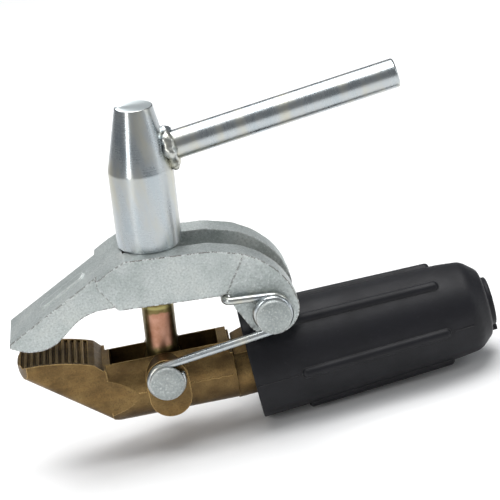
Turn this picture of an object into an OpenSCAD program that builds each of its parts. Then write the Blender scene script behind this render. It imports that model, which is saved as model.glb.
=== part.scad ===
// Heavy-duty welding ground clamp: a cast brass lower jaw and cable barrel, a plated cast
// upper jaw, a swing bolt with a sleeve nut and welded lever, an opening spring and a rubber handle.
// The cable barrel lies along X with its mouth at the origin, opening towards +X. Z is up.

/* [Screw] */
// Outer diameter of the swing bolt's thread
screw_d = 14; // [12:1:16]
// Pitch of the thread
screw_pitch = 2; // [1.5:0.25:2.5]
// Lean of the swing bolt from the square, towards the handle
screw_lean = 4.3; // [0:0.1:8]
// Height of the bolt's top end above the jaw datum
screw_top = 103; // [96:1:105]

/* [Nut and lever] */
// Diameter of the nut's cylindrical part
nut_d = 27.8; // [24:0.2:30]
// Diameter of the nut's top face
nut_top_d = 16; // [14:0.5:20]
// Length of the nut
nut_len = 60.2; // [55:0.2:64]
// Length of the nut's cylindrical part
nut_straight = 33; // [26:1:36]
// Diameter of the lever rod
lever_d = 12.5; // [10:0.5:14]
// Reach of the lever from the nut's axis
lever_reach = 113; // [80:1:130]
// Rise of the lever above the square to the nut
lever_rise = 11.8; // [0:0.1:15]

/* [Upper jaw] */
// Width over the two cheeks
cheek_w = 37.8; // [36:0.2:40]
// Width of the slot between the cheeks
slot_w = 16.9; // [16.5:0.1:18]
// Width of the beak
beak_w = 26.8; // [24:0.2:30]
// Radius of the cheeks round the hinge pin
cheek_r = 12; // [11:0.5:12.5]
// Height of the nut's seat above the jaw datum, square to the bolt
seat_h = 58.2; // [57.5:0.1:58.5]

/* [Lower jaw] */
// Radius of the round body beside the bolt slot
body_r = 15.8; // [15.5:0.1:16.5]
// Width of the slot for the bolt's eye
channel_w = 16; // [15.5:0.1:16.5]
// Width of the lower jaw's toothed face
jaw_w = 26.8; // [24:0.2:28]
// Number of teeth
tooth_count = 11; // [6:1:11]
// Spacing of the teeth
tooth_pitch = 2.7; // [2.4:0.1:2.7]
// Depth of the teeth
tooth_depth = 1.2; // [0.6:0.1:1.6]

/* [Cable barrel] */
// Outer diameter of the barrel
barrel_d = 26; // [24:0.5:27]
// Bore for the stripped cable
socket_d = 15; // [10:0.5:16]
// Depth of the bore
socket_depth = 45; // [35:1:48]

/* [Pins and spring] */
// Diameter of both pins
pin_d = 10; // [9:0.5:10]
// Diameter of the pins' heads
pin_head_d = 15.3; // [14:0.1:17]
// Diameter of the spring's wire
wire_d = 3.5; // [3:0.1:3.6]

/* [Handle] */
// Radius of the handle at its front rim
grip_front_r = 24.3; // [23.5:0.1:25]
// Radius of the handle at its rear shoulder
grip_rear_r = 20.6; // [19:0.1:22]
// Height of the grip ribs
rib_h = 1.9; // [1:0.1:2.5]
// Width of the grip ribs
rib_w = 4.2; // [3:0.1:6]
// Diameter of the cable hole at the rear
cable_hole_d = 16; // [16:0.5:18]

/* [Hidden] */
$fn = 64;
eps = 0.01;
run_gap = 0.05;
brass = "#7a6340";
zinc = "#c3c8c8";
cast_zinc = "#a9b0ae";
rubber = "#2a2a2d";
copper = "#b07d5a";

// The jaw datum is turned 4 degrees from the barrel. Jaw dimensions are [x, z] from the datum.
jaw_tilt = 4;
datum_x = -88;
datum_z = 9.83;
trunnion = [0, 1];
hinge = [49.7, 24.8];
nut_bottom = seat_h + 0.9;
nut_knee = nut_bottom + nut_straight;
nut_top = nut_bottom + nut_len;
lug_y = 16.3;
cheek_y = cheek_w / 2;
coil_r = pin_d / 2 + wire_d / 2 + 0.25;
coil_y1 = -cheek_y - wire_d / 2 - 0.15;
coil_y2 = coil_y1 - wire_d - 0.1;
loop_y = -lug_y - wire_d / 2 - 0.15;
beak_slope = 28.7;

module at_jaw() {
    translate([datum_x, 0, datum_z]) rotate([0, jaw_tilt, 0]) children();
}

// Screw coordinates: Z runs up the bolt, with heights measured from the jaw datum.
module at_screw() {
    at_jaw()
        translate([trunnion.x, 0, trunnion.y]) rotate([0, screw_lean, 0])
            translate([0, 0, -trunnion.y]) children();
}

// A plate of width w across the jaws, from an outline in [x, z].
module plate(w, y = 0) {
    translate([0, y, 0]) rotate([90, 0, 0]) linear_extrude(height = w, center = true) children();
}

// A round bar across the jaws at p = [x, z], from y0 to y1.
module cross_bar(p, d, y0, y1) {
    translate([p.x, y0, p.y]) rotate([-90, 0, 0]) cylinder(d = d, h = y1 - y0);
}

function unit(v) = v / norm(v);
function wrap(a) = a > 180 ? a - 360 : a < -180 ? a + 360 : a;

// The arc that replaces corner b between a and c, in steps of about 5 degrees.
function corner(a, b, c, r) =
    let (
        u = unit(a - b),
        v = unit(c - b),
        half = acos(u * v) / 2,
        mid = b + unit(u + v) * r / sin(half),
        p = b + u * r / tan(half) - mid,
        q = b + v * r / tan(half) - mid,
        a0 = atan2(p.y, p.x),
        turn = wrap(atan2(q.y, q.x) - a0),
        n = ceil(abs(turn) / 5) + 1
    )
    [for (i = [0:n]) mid + r * [cos(a0 + turn * i / n), sin(a0 + turn * i / n)]];

// Rounds each corner of a closed outline of [x, y, corner radius].
function rounded(p) =
    let (n = len(p), q = [for (v = p) [v.x, v.y]])
    [for (i = [0:n - 1]) each
        p[i].z == 0 ? [q[i]] : corner(q[(i + n - 1) % n], q[i], q[(i + 1) % n], p[i].z)];

// Height of the nut's seat at x, square to the leaning bolt.
function seat_z(x) = (seat_h - x * sin(screw_lean)) / cos(screw_lean);

// Crown of the toothed face.
crown_r = 80;
crown_x = -57;
crown_z = 17.5;
function crown(x) = crown_z - crown_r + sqrt(crown_r * crown_r - pow(x - crown_x, 2));
tooth_x0 = -59.6;

// Side outline of the lower jaw's nose
function nose_side() = concat(
    rounded([[-62.4, 16.2, 1], [-62.4, 12.9, 4], [-21.4, -19.8, 8], [-12, -19.8, 0], [-12, 0, 0],
        [-25, 0, 0], [-25, 9.25, 0], [-26.2, 9.25, 0.8], [-29.2, crown(-29.2), 0.8]]),
    [for (x = [-31:-2.5:-61]) [x, crown(x)]]
);

// Grooves between the teeth, stopping short of the sides
module tooth_grooves() {
    half = 0.36 * tooth_pitch * (tooth_depth + 0.3) / tooth_depth;
    plate(jaw_w - 2.4) for (i = [0:tooth_count - 1]) {
        x = tooth_x0 + tooth_pitch * i;
        polygon([[x - half, crown(x) + 0.3], [x + half, crown(x) + 0.3], [x, crown(x) - tooth_depth]]);
    }
}

module lower_jaw_nose() {
    slope = atan2(32.7, 41);
    intersection() {
        plate(jaw_w + 4) polygon(nose_side());
        // Front rounded in plan
        translate([-40, 0, -30]) cylinder(r = 22.4, h = 60, $fn = 128);
        // Flat sides, with the lower edges well rounded along the sloping underside
        translate([-62.4, 0, 12.75]) rotate([0, slope + 90, 0]) translate([0, 0, -40])
            linear_extrude(height = 140)
                polygon(rounded([[0, -jaw_w / 2, 5], [0, jaw_w / 2, 5],
                    [-60, jaw_w / 2, 0], [-60, -jaw_w / 2, 0]]));
        // Underside falling in with the round body
        union() {
            translate([-70, 0, -4.3]) rotate([0, 90, 0]) cylinder(r = body_r - 0.15, h = 80, $fn = 96);
            translate([-70, -20, -4.3]) cube([80, 40, 30]);
        }
    }
}

// The raised boss beside the trunnion hole, drawn down towards the underside.
module trunnion_boss() {
    plate(2 * lug_y) polygon(rounded([[-8.8, 9.9, 9], [9.4, 9.9, 9], [9.4, -17, 9], [-8.8, -17, 9]]));
}

// Round body either side of the bolt slot
module bolt_body() {
    difference() {
        intersection() {
            translate([-26, 0, -4.3]) rotate([0, 90, 0]) cylinder(r = body_r, h = 56, $fn = 96);
            // Sides drawn in to meet the flat sides of the nose
            translate([0, 0, -30]) linear_extrude(height = 60)
                polygon(rounded([[-27, -13.1, 0], [-15, -15.5, 10], [-8, -17, 0], [31, -17, 0],
                    [31, 17, 0], [-8, 17, 0], [-15, 15.5, 10], [-27, 13.1, 0]]));
        }
        translate([-30, -20, 9.3]) cube([70, 40, 20]);
        translate([28.9, -20, 5.6]) cube([20, 40, 20]);
        plate(40) polygon([[-40, -4.7], [-20.9, -19.95], [-20.9, -30], [-40, -30]]);
    }
}

module hinge_lug() {
    w = slot_w - 0.7;
    plate(w) polygon(rounded([[30.4, -6, 0], [30.4, 5.6, 0.8], [35.6, 7.4, 3], [44.8, 12.2, 1.5],
        [43.6, 22, 3], [48, 30, 0], [59.1, 24, 3], [62.5, -6, 0]]));
    cross_bar(hinge, 19, -w / 2, w / 2);
}

module set_screw_places() {
    for (x = [-19, -8]) translate([x, 0, 0]) children();
}

module lower_jaw() {
    color(brass)
    difference() {
        union() {
            at_jaw() {
                lower_jaw_nose();
                bolt_body();
                trunnion_boss();
                hinge_lug();
            }
            translate([-60, 0, 0]) rotate([0, 90, 0]) cylinder(d = barrel_d, h = 60, $fn = 96);
        }
        at_jaw() tooth_grooves();
        // Slot for the bolt's eye
        at_jaw() translate([-23, -channel_w / 2, -10.5]) cube([47.7, channel_w, 40]);
        at_jaw() cross_bar(trunnion, pin_d + 2 * run_gap, -30, 30);
        at_jaw() cross_bar(hinge, pin_d + 2 * run_gap, -30, 30);
        // Cable bore with a chamfered mouth
        translate([-socket_depth, 0, 0]) rotate([0, 90, 0])
            cylinder(d = socket_d, h = socket_depth + 1, $fn = 96);
        set_screw_places() cylinder(d = 8 + 2 * run_gap, h = 20);
    }
}

// Outline of one cheek
function cheek_side() = rounded([[-14, 37.7, 2.5], [-20.9, 49.4, 1.2], [-20.7, 52.3, 0.8],
    [-13.6, 56.2, 6], [-7.4, seat_z(-7.4), 3], [28.5, seat_z(28.5), 18], [41, 52.7, 22],
    [49.2, 47.8, 24], [55.9, 41, 24], [60.1, 33.4, 24], [61.7, 24.8, 0], [49.7, 16, 0],
    [38.5, 20.6, 0], [34.4, 28.6, 2], [33, 35.1, 1]]);

// Outline of the beak, up to the front of the slot
function beak_side() = rounded([[-62.5, 27.8, 0.6], [-62.3, 29.6, 0.5], [-13.6, 56.2, 6],
    [-7.4, seat_z(-7.4), 3], [2, seat_z(2), 0], [2, 37, 0], [-28.4, 37.2, 22],
    [-44.7, 24, 15], [-55.2, 24, 16]]);

// Shallow raised bar along the top of the beak
module beak_bar() {
    translate([-47, 0, 37.9]) rotate([0, -beak_slope, 0]) {
        translate([3, -3, -1]) cube([18, 6, 1.9]);
        for (x = [3, 21]) translate([x, 0, -1]) cylinder(r = 3, h = 1.9);
    }
}

module upper_jaw() {
    color(cast_zinc)
    at_jaw() difference() {
        union() {
            plate(beak_w) polygon(beak_side());
            beak_bar();
            difference() {
                union() {
                    plate(cheek_w) polygon(cheek_side());
                    cross_bar(hinge, 2 * cheek_r, -cheek_y, cheek_y);
                }
                // The hinge end of each cheek is set in slightly from a sloping edge.
                for (s = [-1, 1]) plate(0.7, s * (cheek_y - 0.05))
                    polygon([[32, 35.5], [43.5, 54], [70, 54], [70, 8], [30, 8], [30, 35.5]]);
            }
        }
        // Slot for the bolt and the hinge lug
        translate([-8, -slot_w / 2, 0]) cube([90, slot_w, 80]);
        cross_bar(hinge, pin_d + 2 * run_gap, -30, 30);
    }
}

// One groove ring of the thread for each turn
module thread_rod(h0, h1) {
    r = screw_d / 2;
    depth = 0.54 * screw_pitch;
    n = floor((h1 - h0) / screw_pitch);
    rotate_extrude($fn = 48) polygon(concat([[0, h0]],
        [for (i = [0:n - 1], k = [0:3]) let (z = h0 + screw_pitch * (i + [0.05, 0.35, 0.55, 0.95][k]))
            [r - (k == 1 || k == 2 ? depth : 0), z]],
        [[r, h0 + n * screw_pitch], [r, h1 - 1], [r - 1, h1], [0, h1]]));
}

module swing_bolt() {
    eye_w = channel_w - 0.6;
    eye_d = 16.6;
    color(copper)
    at_screw() difference() {
        union() {
            cross_bar([0, trunnion.y], eye_d, -eye_w / 2, eye_w / 2);
            translate([0, 0, trunnion.y]) cylinder(d = screw_d, h = 41 - trunnion.y);
            thread_rod(41 - eps, screw_top);
        }
        cross_bar([0, trunnion.y], pin_d + 2 * run_gap, -20, 20);
    }
}

// Outer form of the nut: straight below, then a cone with a softened knee
module nut_form(grow = 0) {
    r = nut_d / 2 + grow;
    rt = nut_top_d / 2 + grow;
    rotate_extrude($fn = 96) polygon(concat([[0, nut_bottom]],
        rounded([[r - 0.01, nut_bottom, 0], [r, nut_knee, 5], [rt, nut_top, 0.5 + grow],
            [0, nut_top, 0]])));
}

module clamp_nut() {
    color(zinc)
    at_screw() difference() {
        nut_form();
        translate([0, 0, nut_bottom - 1]) cylinder(d = screw_d + 2 * run_gap, h = 53);
        translate([0, 0, nut_bottom - eps])
            cylinder(d1 = screw_d + 2.4, d2 = screw_d, h = 1.2);
    }
}

lever_h = 97.2;

module at_lever() {
    at_screw() translate([0, 0, lever_h]) rotate([0, 90 - lever_rise, 0]) children();
}

module lever_rod() {
    color(zinc)
    difference() {
        at_lever() rotate_extrude() polygon(rounded([[0, 6, 0], [lever_d / 2, 6, 0],
            [lever_d / 2, lever_reach, 1], [0, lever_reach, 0]]));
        at_screw() nut_form(0.02);
    }
}

// Weld fillet round the root of the lever, with a run-out below
module weld_bead() {
    root = 13.4;
    color(zinc)
    difference() {
        union() {
            at_lever() rotate_extrude($fn = 64)
                translate([lever_d / 2 + 0.3, root]) circle(r = 2.9, $fn = 48);
            at_lever() translate([lever_d / 2 + 1.6, 1.2, root + 1.2]) sphere(d = 5, $fn = 32);
        }
        at_screw() nut_form(0.02);
        at_lever() cylinder(d = lever_d + 0.02, h = lever_reach);
    }
}

module thrust_washer() {
    color(zinc)
    at_screw() translate([0, 0, seat_h + run_gap]) difference() {
        cylinder(d = nut_d - 1.4, h = 0.8);
        translate([0, 0, -1]) cylinder(d = screw_d + 0.5, h = 3);
    }
}

// A pin with a low domed head towards -Y and a peened end towards +Y
module headed_pin(head_y, end_y) {
    head_h = 2.6;
    rotate([-90, 0, 0]) rotate_extrude() polygon(concat(
        rounded([[0, head_y - head_h, 0], [pin_head_d / 2 - 2.6, head_y - head_h, 6],
            [pin_head_d / 2, head_y - 1.6, 1], [pin_head_d / 2, head_y, 0.2]]),
        [[pin_d / 2, head_y], [pin_d / 2, end_y], [pin_d / 2 + 1.4, end_y],
            [pin_d / 2 + 1.2, end_y + 1], [pin_d / 2 - 1, end_y + 1.8], [0, end_y + 2]]));
}

washer_t = 1.6;

module hinge_pin() {
    color(cast_zinc)
    at_jaw() translate([hinge.x, 0, hinge.y])
        headed_pin(coil_y2 - wire_d / 2 - 0.15, cheek_y + washer_t + 0.2);
}

module hinge_pin_washer() {
    color(zinc) pin_washer(hinge, cheek_y + 0.1);
}

module trunnion_pin() {
    color(cast_zinc)
    at_jaw() translate([trunnion.x, 0, trunnion.y])
        headed_pin(loop_y - wire_d / 2 - 0.15, lug_y + washer_t + 0.2);
}

module trunnion_pin_washer() {
    color(zinc) pin_washer(trunnion, lug_y + 0.1);
}

module pin_washer(p, y) {
    at_jaw() difference() {
        cross_bar(p, 17, y, y + washer_t);
        cross_bar(p, pin_d + 2 * run_gap, y - 1, y + washer_t + 1);
    }
}

// Tube of diameter d swept along the points p, closed at both ends
module tube(p, d, sides = 12) {
    n = len(p);
    t = [for (i = [0:n - 1]) unit(p[min(i + 1, n - 1)] - p[max(i - 1, 0)])];
    side = [for (i = 0, v = unit(cross(t[0], [1, 0, 0])); i < n; i = i + 1,
        v = i < n ? unit(v - t[i] * (v * t[i])) : v) v];
    points = [for (i = [0:n - 1], k = [0:sides - 1]) let (a = 360 * k / sides)
        p[i] + d / 2 * (side[i] * cos(a) + cross(t[i], side[i]) * sin(a))];
    walls = [for (i = [0:n - 2], k = [0:sides - 1]) let (m = (k + 1) % sides)
        [i * sides + k, (i + 1) * sides + k, (i + 1) * sides + m, i * sides + m]];
    near = [for (k = [0:sides - 1]) k];
    far = [for (k = [sides - 1:-1:0]) (n - 1) * sides + k];
    polyhedron(points, concat([near], walls, [far]), convexity = 6);
}

function on_ring(p, y, r, a) = [p.x + r * cos(a), y, p.y + r * sin(a)];
function ease(t) = (1 - cos(180 * max(0, min(1, t)))) / 2;

// The wire's centre line: hook, short leg, one and a half coils, long leg, loop and tail
function spring_path() =
    let (
        leg_a = 85.5,
        leg_len = 19.4,
        hook_len = 7,
        hook_r = 2.6,
        gap = hinge - trunnion,
        cross_a = asin(2 * coil_r / norm(gap)),
        long_a = atan2(gap.y, gap.x) - cross_a - 90,
        start = on_ring(hinge, coil_y1, coil_r, leg_a),
        u = [cos(leg_a - 90), 0, sin(leg_a - 90)],
        v = [0, 1, 0],
        hook = start - leg_len * u,
        coil_end = long_a - 360,
        jog_from = long_a,
        jog_to = leg_a - 360
    )
    concat(
        [hook + hook_len * v],
        [for (a = [0:15:90]) hook + hook_r * (u + v - u * cos(a) - v * sin(a))],
        [for (a = [leg_a:-10:coil_end + 2])
            on_ring(hinge, coil_y1 + (coil_y2 - coil_y1) * ease((jog_from - a) / (jog_from - jog_to)),
                coil_r, a)],
        [on_ring(hinge, coil_y2, coil_r, coil_end)],
        [for (a = [long_a + 180:10:385]) on_ring(trunnion, loop_y, coil_r, a)]
    );

module opening_spring() {
    color(zinc) at_jaw() tube(spring_path(), wire_d);
}

// Outline of the handle in [radius, x]
function grip_outline() = rounded([[grip_front_r, -51.5, 0.8], [grip_rear_r + 0.5, 38, 60],
    [grip_rear_r - 0.7, 48.5, 8], [14.5, 54.8, 4], [10.8, 55.3, 0.8], [10.5, 57.6, 0.8],
    [cable_hole_d / 2, 57.6, 0.5], [cable_hole_d / 2, 50, 0], [9.5, 48, 0], [9.5, 0.5, 0],
    [barrel_d / 2 + run_gap, 0.5, 0], [barrel_d / 2 + run_gap, -22, 0], [20.6, -24, 3],
    [20.8, -51.5, 0.4]]);

function grip_r(x) = grip_front_r + (grip_rear_r + 0.5 - grip_front_r) * (x + 51.5) / 89.5;

// Half-sunk round rib that follows the handle's taper
module grip_rib(a) {
    x0 = -31;
    x1 = 35.5;
    r = rib_w / 2 + 0.4;
    sink = r - rib_h;
    slope = atan((grip_r(x0) - grip_r(x1)) / (x1 - x0));
    rotate([a, 0, 0]) translate([x0, 0, grip_r(x0) - sink]) rotate([0, 90 + slope, 0])
        rotate_extrude($fn = 32) polygon(concat([[0, 0]],
            rounded([[0.1, 0, 0], [r, 0, 0.8 * r], [r, x1 - x0, 0.8 * r], [0.1, x1 - x0, 0]]),
            [[0, x1 - x0]]));
}

module rubber_handle() {
    color(rubber)
    difference() {
        union() {
            rotate([0, 90, 0]) rotate_extrude($fn = 96) polygon(grip_outline());
            difference() {
                for (k = [0:5]) grip_rib(30 + 60 * k);
                rotate([0, 90, 0]) translate([0, 0, -60]) cylinder(r = 20.5, h = 120, $fn = 96);
            }
            // Moulding nib under the rear collar
            translate([54.4, 0, -13.2]) rotate([0, 90, 0]) cylinder(d = 2.6, h = 3.7, $fn = 24);
        }
        // Window round the hinge end of the upper jaw
        at_jaw() cross_bar(hinge, 2 * cheek_r + 1.2, -cheek_y - 0.5, cheek_y + 0.5);
    }
}

module cable_set_screws() {
    color("#8f9294")
    set_screw_places() difference() {
        translate([0, 0, socket_d / 2 + 0.2]) cylinder(d = 8, h = 4);
        translate([0, 0, socket_d / 2 + 1.8]) cylinder(d = 4.6, h = 4, $fn = 6);
    }
}

lower_jaw();
upper_jaw();
swing_bolt();
clamp_nut();
lever_rod();
weld_bead();
thrust_washer();
hinge_pin();
hinge_pin_washer();
trunnion_pin();
trunnion_pin_washer();
opening_spring();
rubber_handle();
cable_set_screws();
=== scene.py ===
from math import asin, atan2, cos, degrees, pi, radians, sin

import bmesh
import bpy
from mathutils import Matrix, Vector, noise


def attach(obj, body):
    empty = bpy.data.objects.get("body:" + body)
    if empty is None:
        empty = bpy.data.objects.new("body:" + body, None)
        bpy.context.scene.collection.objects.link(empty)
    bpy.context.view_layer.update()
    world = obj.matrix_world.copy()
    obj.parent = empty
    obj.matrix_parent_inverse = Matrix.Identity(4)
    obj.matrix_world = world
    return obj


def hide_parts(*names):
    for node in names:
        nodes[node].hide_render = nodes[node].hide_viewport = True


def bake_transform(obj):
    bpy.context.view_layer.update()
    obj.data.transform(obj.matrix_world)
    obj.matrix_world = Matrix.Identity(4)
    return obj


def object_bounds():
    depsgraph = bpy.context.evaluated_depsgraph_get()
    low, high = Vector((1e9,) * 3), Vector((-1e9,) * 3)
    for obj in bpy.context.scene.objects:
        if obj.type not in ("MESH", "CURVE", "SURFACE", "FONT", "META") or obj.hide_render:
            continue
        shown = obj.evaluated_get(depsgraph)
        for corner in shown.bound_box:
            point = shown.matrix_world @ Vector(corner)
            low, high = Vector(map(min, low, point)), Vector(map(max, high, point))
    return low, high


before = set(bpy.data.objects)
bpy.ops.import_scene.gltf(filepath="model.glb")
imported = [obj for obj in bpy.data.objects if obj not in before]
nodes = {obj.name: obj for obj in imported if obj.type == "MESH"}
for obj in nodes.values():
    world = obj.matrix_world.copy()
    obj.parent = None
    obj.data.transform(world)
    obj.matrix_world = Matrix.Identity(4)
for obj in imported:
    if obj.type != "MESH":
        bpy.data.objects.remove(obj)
cad_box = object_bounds()

# ---------------------------------------------------------------- places, in metres
MM = 0.001
TILT = radians(4)


def jaw(x, z, y=0.0):
    """A point given in the jaw's own side view, in millimetres, as a point of the frame."""
    return Vector((x * cos(TILT) + z * sin(TILT) - 88, y, -x * sin(TILT) + z * cos(TILT) + 9.83)) * MM


TRUNNION = jaw(0, 1)
HINGE = jaw(49.7, 24.8)
SCREW = Vector((sin(radians(8.3)), 0, cos(radians(8.3))))
ROD = Vector((sin(radians(86.5)), 0, cos(radians(86.5))))
ROD_ROOT = TRUNNION + SCREW * 0.0962


# ---------------------------------------------------------------- camera, light
CAMERA_PLACE = Vector((-0.04355, -0.72591, 0.34897))
CAMERA_AZIMUTH = radians(-0.348)
CAMERA_ELEVATION = radians(22.231)
CAMERA_ROLL = radians(-14.699)

camera = bpy.data.objects.new("camera", bpy.data.cameras.new("camera"))
bpy.context.scene.collection.objects.link(camera)
camera.data.lens = 131.47
camera.data.sensor_width = 36
camera.data.clip_start = 0.01
camera.matrix_world = (Matrix.Translation(CAMERA_PLACE)
                       @ Matrix.Rotation(CAMERA_AZIMUTH, 4, "Z")
                       @ Matrix.Rotation(pi / 2 - CAMERA_ELEVATION, 4, "X")
                       @ Matrix.Rotation(CAMERA_ROLL, 4, "Z"))
bpy.context.scene.camera = camera
bpy.context.scene.view_settings.view_transform = "Standard"

CENTRE = (Vector(cad_box[0]) + Vector(cad_box[1])) / 2


def softbox(name, place, size, power, colour=(1, 1, 1)):
    light = bpy.data.lights.new(name, "AREA")
    light.shape = "RECTANGLE"
    light.size, light.size_y = size
    light.energy = power
    light.color = colour
    o = bpy.data.objects.new(name, light)
    bpy.context.scene.collection.objects.link(o)
    o.location = CENTRE + Vector(place)
    o.rotation_euler = (CENTRE - o.location).to_track_quat("-Z", "Y").to_euler()


softbox("top_softbox", (0.1, 0.1, 1.6), (1.5, 1.2), 33.0)
softbox("left_softbox", (-0.75, -0.75, 0.45), (0.16, 0.8), 3.4, (1.0, 0.99, 0.97))
softbox("right_softbox", (0.95, -0.30, 0.40), (0.22, 0.6), 1.6, (0.95, 0.98, 1.0))
softbox("back_softbox", (-0.2, 0.75, 1.0), (0.9, 0.3), 3.0)

world = bpy.data.worlds.new("studio")
bpy.context.scene.world = world
world.use_nodes = True
world.node_tree.nodes["Background"].inputs["Color"].default_value = (0.93, 0.96, 1.0, 1)
world.node_tree.nodes["Background"].inputs["Strength"].default_value = 0.24


# ---------------------------------------------------------------- material helpers
class Shader:
    """A node material: each method adds nodes and returns the socket with the result."""

    def __init__(self, name):
        self.material = bpy.data.materials.new(name)
        self.material.use_nodes = True
        self.tree = self.material.node_tree
        self.bsdf = self.tree.nodes["Principled BSDF"]
        self.place = self.add("ShaderNodeTexCoord").outputs["Object"]

    def add(self, kind, **settings):
        n = self.tree.nodes.new(kind)
        for key, value in settings.items():
            setattr(n, key, value)
        return n

    def set(self, socket, value):
        if isinstance(value, bpy.types.NodeSocket):
            self.tree.links.new(value, socket)
        elif isinstance(value, tuple) and len(value) == 3 and socket.type == "RGBA":
            socket.default_value = (*value, 1)
        else:
            socket.default_value = value

    def noise(self, size_mm, detail=3.0, rough=0.55, stretch=None, place=None):
        n = self.add("ShaderNodeTexNoise")
        source = place or self.place
        if stretch:
            m = self.add("ShaderNodeMapping")
            self.set(m.inputs["Vector"], source)
            m.inputs["Rotation"].default_value = stretch[0]
            m.inputs["Scale"].default_value = stretch[1]
            source = m.outputs[0]
        self.set(n.inputs["Vector"], source)
        n.inputs["Scale"].default_value = 1000.0 / size_mm
        n.inputs["Detail"].default_value = detail
        n.inputs["Roughness"].default_value = rough
        return n.outputs["Fac"]

    def ramp(self, value, *stops):
        n = self.add("ShaderNodeValToRGB")
        ramp = n.color_ramp
        while len(ramp.elements) < len(stops):
            ramp.elements.new(0.5)
        for e, (at, colour) in zip(ramp.elements, stops):
            e.position = at
            e.color = (*colour, 1) if isinstance(colour, tuple) else (colour, colour, colour, 1)
        self.set(n.inputs[0], value)
        return n.outputs[0]

    def mix(self, factor, a, b, kind="MIX"):
        n = self.add("ShaderNodeMix", data_type="RGBA", blend_type=kind)
        self.set(n.inputs[0], factor)
        self.set(n.inputs[6], a)
        self.set(n.inputs[7], b)
        return n.outputs[2]

    def math(self, kind, a, b=0.0):
        n = self.add("ShaderNodeMath", operation=kind)
        self.set(n.inputs[0], a)
        self.set(n.inputs[1], b)
        return n.outputs[0]

    def vector(self, kind, a, b, result=0):
        n = self.add("ShaderNodeVectorMath", operation=kind)
        self.set(n.inputs[0], a)
        self.set(n.inputs[1], b)
        return n.outputs[result]

    def along(self, origin, direction):
        """Distance in metres along an axis through a point."""
        offset = self.vector("SUBTRACT", self.place, tuple(origin))
        return self.vector("DOT_PRODUCT", offset, tuple(direction), 1)

    def edges(self, radius_mm=0.5):
        """White on the sharp edges, black on the flats."""
        bevel = self.add("ShaderNodeBevel", samples=4)
        bevel.inputs["Radius"].default_value = radius_mm * MM
        flat = self.add("ShaderNodeNewGeometry").outputs["Normal"]
        same = self.vector("DOT_PRODUCT", bevel.outputs[0], flat, 1)
        self.round_normal = bevel.outputs[0]
        return self.math("SUBTRACT", 1.0, same)

    def painted_shade_mask(self, distance_mm):
        """White in corners and recesses, black on open faces; it masks painted shade."""
        n = self.add("ShaderNodeAmbientOcclusion", samples=4, only_local=True)
        n.inputs["Distance"].default_value = distance_mm * MM
        return self.math("SUBTRACT", 1.0, n.outputs["AO"])

    def bump(self, *layers):
        """Layers of (height socket, depth in mm), the coarse one first."""
        normal = getattr(self, "round_normal", None)
        for height, depth in layers:
            n = self.add("ShaderNodeBump")
            n.inputs["Strength"].default_value = 1.0
            n.inputs["Distance"].default_value = depth * MM
            self.set(n.inputs["Height"], height)
            if normal:
                self.set(n.inputs["Normal"], normal)
            normal = n.outputs[0]
        self.set(self.bsdf.inputs["Normal"], normal)

    def finish(self, colour, rough, metallic):
        self.set(self.bsdf.inputs["Base Color"], colour)
        self.set(self.bsdf.inputs["Roughness"], rough)
        self.bsdf.inputs["Metallic"].default_value = metallic
        return self.material


# ---------------------------------------------------------------- materials
def cast_brass():
    s = Shader("cast_brass")
    edge_mask = s.edges(0.6)
    painted_shade_mask = s.painted_shade_mask(9)
    stain = s.noise(11, 5, 0.6)
    grain = s.noise(0.7, 3, 0.6)
    streak = s.noise(5, 4, 0.7, ((0, 0, 0), (0.25, 1, 1)))
    colour = s.ramp(stain,
                    (0.30, (0.075, 0.044, 0.017)),
                    (0.5, (0.150, 0.094, 0.036)),
                    (0.72, (0.25, 0.165, 0.064)))
    colour = s.mix(s.ramp(streak, (0.45, 0.0), (0.75, 0.6)), colour, (0.25, 0.150, 0.052))
    colour = s.mix(s.ramp(grain, (0.35, 0.55), (0.5, 0.0)), colour, (0.09, 0.06, 0.026))
    colour = s.mix(s.ramp(edge_mask, (0.015, 0.0), (0.09, 0.9)), colour, (0.68, 0.46, 0.19))
    # Painted shade: near-black darkening in the slot, the teeth grooves and other recesses.
    colour = s.mix(s.ramp(painted_shade_mask, (0.35, 0.0), (0.80, 0.95)), colour, (0.012, 0.008, 0.006))
    s.bump((stain, 0.35), (grain, 0.14))
    return s.finish(colour, s.ramp(streak, (0.3, 0.48), (0.7, 0.32)), 0.85)


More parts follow.
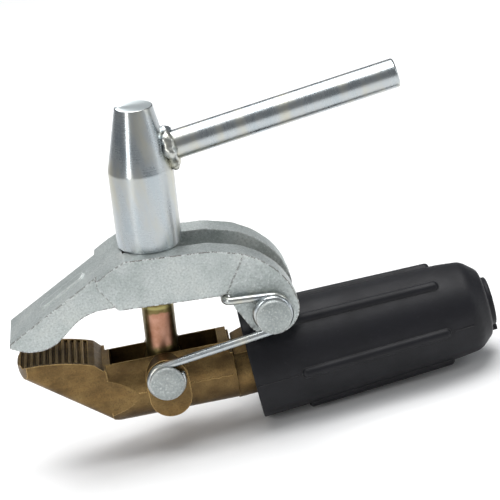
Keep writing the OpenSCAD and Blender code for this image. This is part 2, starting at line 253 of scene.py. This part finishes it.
def cast_zinc(name, rust=0.8, shade=1.0):
    """Zinc over a rough casting: worn edges lightened, partly as a painted glint, rust along those away
    from the middle plane, and painted shade in recesses.
    """
    s = Shader(name)
    edge_mask = s.edges(0.9)
    painted_shade_mask = s.painted_shade_mask(3)
    cloud = s.noise(14, 4, 0.55)
    sand = s.noise(0.9, 4, 0.65)
    spots = s.noise(1.3, 2, 0.8)
    greys = ((0.35, (0.40, 0.44, 0.43)), (0.55, (0.50, 0.54, 0.53)), (0.75, (0.56, 0.59, 0.57)))
    colour = s.ramp(cloud, *[(at, tuple(c * shade for c in grey)) for at, grey in greys])
    colour = s.mix(s.ramp(sand, (0.38, 0.35), (0.5, 0.0)), colour, (0.24, 0.27, 0.27))
    colour = s.mix(s.ramp(sand, (0.56, 0.0), (0.68, 0.5)), colour, (0.74, 0.77, 0.77))
    # Sharp edges lightened towards near-white: partly worn zinc, partly a painted glint.
    edge = s.ramp(edge_mask, (0.003, 0.0), (0.02, 1.0))
    colour = s.mix(s.math("MULTIPLY", edge, 0.75), colour, (0.90, 0.93, 0.92))
    rough_edge = s.math("MULTIPLY", edge, s.ramp(spots, (0.44, 0.0), (0.50, 1.0)))
    aside = s.math("MULTIPLY", s.math("ABSOLUTE", s.along((0, 0, 0), (0, 1, 0))), 100.0)
    rough_edge = s.math("MULTIPLY", rough_edge, s.ramp(aside, (0.80, 0.0), (0.95, 1.0)))
    colour = s.mix(s.math("MULTIPLY", rough_edge, rust), colour, (0.085, 0.06, 0.045))
    # Painted shade: darker grey in corners and recesses.
    colour = s.mix(s.ramp(painted_shade_mask, (0.55, 0.0), (0.95, 0.6)), colour, (0.12, 0.125, 0.11))
    s.bump((cloud, 0.3), (sand, 0.28))
    return s.finish(colour, s.ramp(sand, (0.35, 0.56), (0.65, 0.34)), 0.72)


def bright_zinc(name, origin, axis, lines=0.004, line_mm=0.35, turned=False):
    """Turned or drawn steel with clear zinc: fine rings round an axis and a faint colour drift."""
    s = Shader(name)
    s.edges(0.25)
    h = s.along(origin, axis)
    ring = s.add("ShaderNodeTexNoise", noise_dimensions="1D")
    s.set(ring.inputs["W"], h)
    ring.inputs["Scale"].default_value = 1000.0 / line_mm
    ring.inputs["Detail"].default_value = 2.0
    tint = s.noise(7, 3, 0.5, ((0, 0, 0), (1, 1, 0.25)))
    pits = s.noise(1.6, 3, 0.75)
    colour = s.ramp(tint,
                    (0.30, (0.40, 0.45, 0.48)),
                    (0.5, (0.46, 0.49, 0.50)),
                    (0.74, (0.53, 0.52, 0.44)))
    colour = s.mix(s.ramp(pits, (0.66, 0.0), (0.74, 0.6)), colour, (0.30, 0.28, 0.22))
    s.bump((tint, 0.05), (pits, 0.012), (ring.outputs["Fac"], lines))
    rough = s.math("ADD", s.ramp(tint, (0.3, 0.20), (0.7, 0.30)),
                   s.math("MULTIPLY", ring.outputs["Fac"], 0.08))
    if turned:
        facing = s.vector("DOT_PRODUCT", s.add("ShaderNodeTexCoord").outputs["Normal"], tuple(axis), 1)
        end = s.ramp(s.math("ABSOLUTE", facing), (0.93, 0.0), (0.97, 1.0))
        colour = s.mix(end, colour, (0.66, 0.71, 0.72))
        rough = s.mix(end, rough, (0.55, 0.55, 0.55))
        around = s.add("ShaderNodeTangent", direction_type="RADIAL", axis="Z")
        s.set(s.bsdf.inputs["Tangent"], around.outputs[0])
        s.bsdf.inputs["Anisotropic"].default_value = 0.6
        s.bsdf.inputs["Anisotropic Rotation"].default_value = 0.25
    return s.finish(colour, rough, 1.0)


def bolt_plating():
    s = Shader("bolt_plating")
    s.edges(0.2)
    h = s.along(TRUNNION, SCREW)
    stain = s.noise(6, 4, 0.6)
    lines = s.noise(0.4, 2, 0.5, ((0, 0, 0), (1, 1, 0.1)))
    pink_highlight = s.ramp(stain, (0.35, (0.36, 0.17, 0.10)), (0.65, (0.50, 0.27, 0.19)))
    olive = s.ramp(stain, (0.35, (0.11, 0.080, 0.030)), (0.65, (0.24, 0.19, 0.075)))
    at = s.math("ADD", h, s.math("MULTIPLY", s.math("SUBTRACT", stain, 0.5), 0.006))
    # Painted reflection: a pink copper-coloured highlight on a strip of the shank along its ±y faces,
    # between two heights; olive elsewhere.
    side = s.along(TRUNNION, SCREW.cross(Vector((0, 1, 0))))
    painted_highlight_strip = s.ramp(s.math("MULTIPLY", s.math("ABSOLUTE", side), 100.0), (0.40, 1.0), (0.56, 0.0))
    shank = s.ramp(s.math("MULTIPLY", at, 10.0), (0.098, 0.0), (0.122, 1.0), (0.262, 1.0), (0.270, 0.0))
    colour = s.mix(s.math("MULTIPLY", painted_highlight_strip, shank), olive, pink_highlight)
    band = s.ramp(s.math("MULTIPLY", h, 10.0), (0.283, 0.0), (0.288, 0.8), (0.296, 0.8), (0.302, 0.0))
    colour = s.mix(band, colour, (0.40, 0.36, 0.14))
    s.bump((stain, 0.03), (lines, 0.01))
    return s.finish(colour, s.ramp(lines, (0.3, 0.30), (0.7, 0.42)), 0.9)


def moulded_rubber():
    s = Shader("moulded_rubber")
    edge_mask = s.edges(0.5)
    cloud = s.noise(16, 4, 0.6)
    skin = s.noise(0.55, 3, 0.6)
    dust = s.noise(2.2, 4, 0.75)
    colour = s.ramp(cloud, (0.35, (0.006, 0.006, 0.008)), (0.7, (0.010, 0.010, 0.013)))
    colour = s.mix(s.ramp(dust, (0.62, 0.0), (0.75, 0.35)), colour, (0.03, 0.03, 0.034))
    # Lighter grey on the sharp edges: partly scuffed rubber, partly a painted highlight on rims that
    # catch the light.
    colour = s.mix(s.ramp(edge_mask, (0.03, 0.0), (0.16, 0.55)), colour, (0.10, 0.10, 0.097))
    s.bump((cloud, 0.25), (skin, 0.05))
    s.bsdf.inputs["Specular IOR Level"].default_value = 0.26
    return s.finish(colour, s.ramp(cloud, (0.3, 0.56), (0.7, 0.44)), 0.0)


def dark_steel():
    s = Shader("dark_steel")
    s.edges(0.15)
    spots = s.noise(1.1, 3, 0.7)
    colour = s.ramp(spots, (0.4, (0.10, 0.10, 0.105)), (0.7, (0.20, 0.19, 0.18)))
    s.bump((spots, 0.03))
    return s.finish(colour, s.ramp(spots, (0.3, 0.34), (0.7, 0.5)), 0.9)


def pale_floor():
    s = Shader("pale_floor")
    cloud = s.noise(400, 2, 0.5)
    return s.finish(s.ramp(cloud, (0.3, (0.90, 0.90, 0.90)), (0.7, (0.92, 0.92, 0.92))), 0.9, 0.0)


PIN = Vector((0, 1, 0))
finishes = {
    "lower_jaw": cast_brass(),
    "upper_jaw": cast_zinc("cast_zinc", 1.0),
    "swing_bolt": bolt_plating(),
    "clamp_nut": bright_zinc("turned_zinc", TRUNNION, SCREW, 0.012, 0.40, True),
    "lever_rod": bright_zinc("drawn_zinc", ROD_ROOT, ROD, 0.004, 0.9),
    "thrust_washer": bright_zinc("washer_zinc", TRUNNION, SCREW, 0.003, 0.3),
    "hinge_pin": cast_zinc("pin_zinc", 0.2, 0.78),
    "trunnion_pin": cast_zinc("trunnion_zinc", 0.2, 0.72),
    "hinge_pin_washer": bright_zinc("rear_washer_zinc", HINGE, PIN, 0.003, 0.3),
    "trunnion_pin_washer": bright_zinc("front_washer_zinc", TRUNNION, PIN, 0.003, 0.3),
    "rubber_handle": moulded_rubber(),
    "cable_set_screws": dark_steel(),
}
for name, material in finishes.items():
    mesh = nodes[name].data
    mesh.materials.clear()
    mesh.materials.append(material)


# ---------------------------------------------------------------- pieces
def piece(name, bm, material, smooth=True):
    mesh = bpy.data.meshes.new(name)
    bmesh.ops.recalc_face_normals(bm, faces=bm.faces)
    bm.to_mesh(mesh)
    bm.free()
    for p in mesh.polygons:
        p.use_smooth = smooth
    mesh.materials.append(material)
    o = bpy.data.objects.new(name, mesh)
    bpy.context.scene.collection.objects.link(o)
    return o


def swept(points, radius, sides=20):
    """A closed tube along the points; radius is a number or a function of the point's index."""
    bm = bmesh.new()
    count = len(points)
    rings = []
    normal = None
    for i, p in enumerate(points):
        t = (points[min(i + 1, count - 1)] - points[max(i - 1, 0)]).normalized()
        if normal is None:
            normal = t.orthogonal().normalized()
        normal = (normal - t * normal.dot(t)).normalized()
        side = t.cross(normal)
        r = radius(i) if callable(radius) else radius
        turns = [2 * pi * k / sides for k in range(sides)]
        rings.append([bm.verts.new(p + (normal * cos(a) + side * sin(a)) * r) for a in turns])
    for a, b in zip(rings, rings[1:]):
        for k in range(sides):
            bm.faces.new((a[k], a[(k + 1) % sides], b[(k + 1) % sides], b[k]))
    bm.faces.new(rings[0])
    bm.faces.new(rings[-1])
    return bm


def opening_spring():
    """The wire's centre line: hook, short leg, one and a half coils, long leg, loop and tail."""
    wire = 3.5
    coil = 5 + wire / 2 + 0.25
    hinge, trunnion = Vector((49.7, 24.8)), Vector((0, 1))
    y1 = -18.9 - wire / 2 - 0.15
    y2 = y1 - wire - 0.1
    loop_y = -16.3 - wire / 2 - 0.15

    def ring(c, y, a):
        return Vector((c.x + coil * cos(radians(a)), y, c.y + coil * sin(radians(a))))

    gap = hinge - trunnion
    leg_a, leg, hook_r = 85.5, 19.4, 2.6
    long_a = degrees(atan2(gap.y, gap.x)) - degrees(asin(2 * coil / gap.length)) - 90
    start = ring(hinge, y1, leg_a)
    u = Vector((cos(radians(leg_a - 90)), 0, sin(radians(leg_a - 90))))
    v = Vector((0, 1, 0))
    hook = start - u * leg
    line = [hook + v * d for d in (7, 6, 5, 4, 3)]
    line += [hook + (u + v - u * cos(a * pi / 20) - v * sin(a * pi / 20)) * hook_r
             for a in range(11)]
    line += [hook + u * (hook_r + (leg - hook_r) * k / 8) for k in range(1, 8)]
    turn_to = long_a - 360
    jog = long_a - (leg_a - 360)
    steps = 80
    for k in range(steps + 1):
        a = leg_a + (turn_to - leg_a) * k / steps
        t = max(0.0, min(1.0, (long_a - a) / jog))
        line.append(ring(hinge, y1 + (y2 - y1) * (1 - cos(pi * t)) / 2, a))
    first = ring(trunnion, loop_y, long_a + 180)
    last = line[-1]
    line += [last.lerp(first, k / 24) for k in range(1, 24)]
    a = long_a + 180
    while a <= 385:
        line.append(ring(trunnion, loop_y, a))
        a += 6
    points = [jaw(p.x, p.z, p.y) for p in line]
    full = wire / 2 * MM
    n = len(points)

    def radius(i):
        end = min(i, n - 1 - i)
        return full * (0.86 if end == 0 else 1.0)

    finish = bright_zinc("spring_zinc", HINGE, SCREW, 0.001, 3.0)
    o = piece("opening_spring_wire", swept(points, radius), finish)
    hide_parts("opening_spring")
    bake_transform(o)


opening_spring()
finishes["weld_bead"] = bright_zinc("weld_zinc", ROD_ROOT, ROD, 0.001, 0.8)


def weld_bead():
    """The uneven bead where the rod meets the nut, with one frozen drop underneath."""
    bm = bmesh.new()
    across = ROD.cross(Vector((0, 1, 0))).normalized()
    rings, around, cross = [], 72, 16
    for i in range(around):
        a = 2 * pi * i / around
        out = across * cos(a) + Vector((0, 1, 0)) * sin(a)
        lap = 1 + 0.13 * sin(7 * a + 0.6)
        centre = ROD_ROOT + ROD * 0.0134 + out * 0.0063
        ring = []
        for k in range(cross):
            b = 2 * pi * k / cross
            p = centre + (out * cos(b) + ROD * sin(b)) * 0.0026 * lap
            n = noise.noise(p * 420) * 0.75 + noise.noise(p * 1300) * 0.10
            ring.append(bm.verts.new(p + (out * cos(b) + ROD * sin(b)) * n * 0.0011))
        rings.append(ring)
    for i in range(around):
        a, b = rings[i], rings[(i + 1) % around]
        for k in range(cross):
            bm.faces.new((a[k], a[(k + 1) % cross], b[(k + 1) % cross], b[k]))

    o = piece("weld_bead_run", bm, finishes["weld_bead"])
    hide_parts("weld_bead")
    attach(o, "nut")
    drop = bmesh.new()
    bmesh.ops.create_uvsphere(drop, u_segments=24, v_segments=16, radius=0.0019)
    for vert in drop.verts:
        vert.co *= 1 + 0.08 * noise.noise(vert.co * 900)
        vert.co += ROD_ROOT + ROD * 0.0150 - SCREW * 0.0078 + Vector((0, -0.0035, 0))
    d = piece("weld_drop", drop, finishes["weld_bead"])
    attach(d, "nut")


weld_bead()


def ridge(name, points, radius, material):
    """A fine raised line, such as a mould's parting line."""
    o = piece(name, swept(points, radius, 8), material)
    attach(o, "base")


# Parting lines on the sides of the casting, either side of the trunnion boss
for side, y in (("near", -15.78), ("far", 15.78)):
    for part, x0, x1 in (("front", -13.0, -9.4), ("rear", 10.0, 28.5)):
        run = [jaw(x0 + (x1 - x0) * k / 24, -3.3 + 0.25 * sin(1.1 * k), y) for k in range(25)]
        ridge("parting_line_" + part + "_" + side, run, 0.00022, finishes["lower_jaw"])

def handle_half_width(x):
    """Half the sleeve's width at x, in millimetres: a straight taper, then the start of its rounding."""
    return 24.3 - 3.2 * (x + 51.5) / 89.5 - (0.4 if x > 40 else 0) * (x - 40) / 6


# Mould seam of the handle, ahead of and behind the side ribs
for side, sign in (("near", -1), ("far", 1)):
    for part, x0, x1 in (("front", -51.0, -32.5), ("rear", 37.0, 46.0)):
        run = [Vector((x, sign * handle_half_width(x), 0.0)) * MM
               for x in [x0 + (x1 - x0) * k / 10 for k in range(11)]]
        ridge("handle_seam_" + part + "_" + side, run, 0.00025, finishes["rubber_handle"])

# ---------------------------------------------------------------- floor
bm = bmesh.new()
bmesh.ops.create_grid(bm, x_segments=1, y_segments=1, size=4.0)
floor = piece("floor", bm, pale_floor(), False)
floor.location = (CENTRE.x, CENTRE.y, cad_box[0][2] - 0.0005)
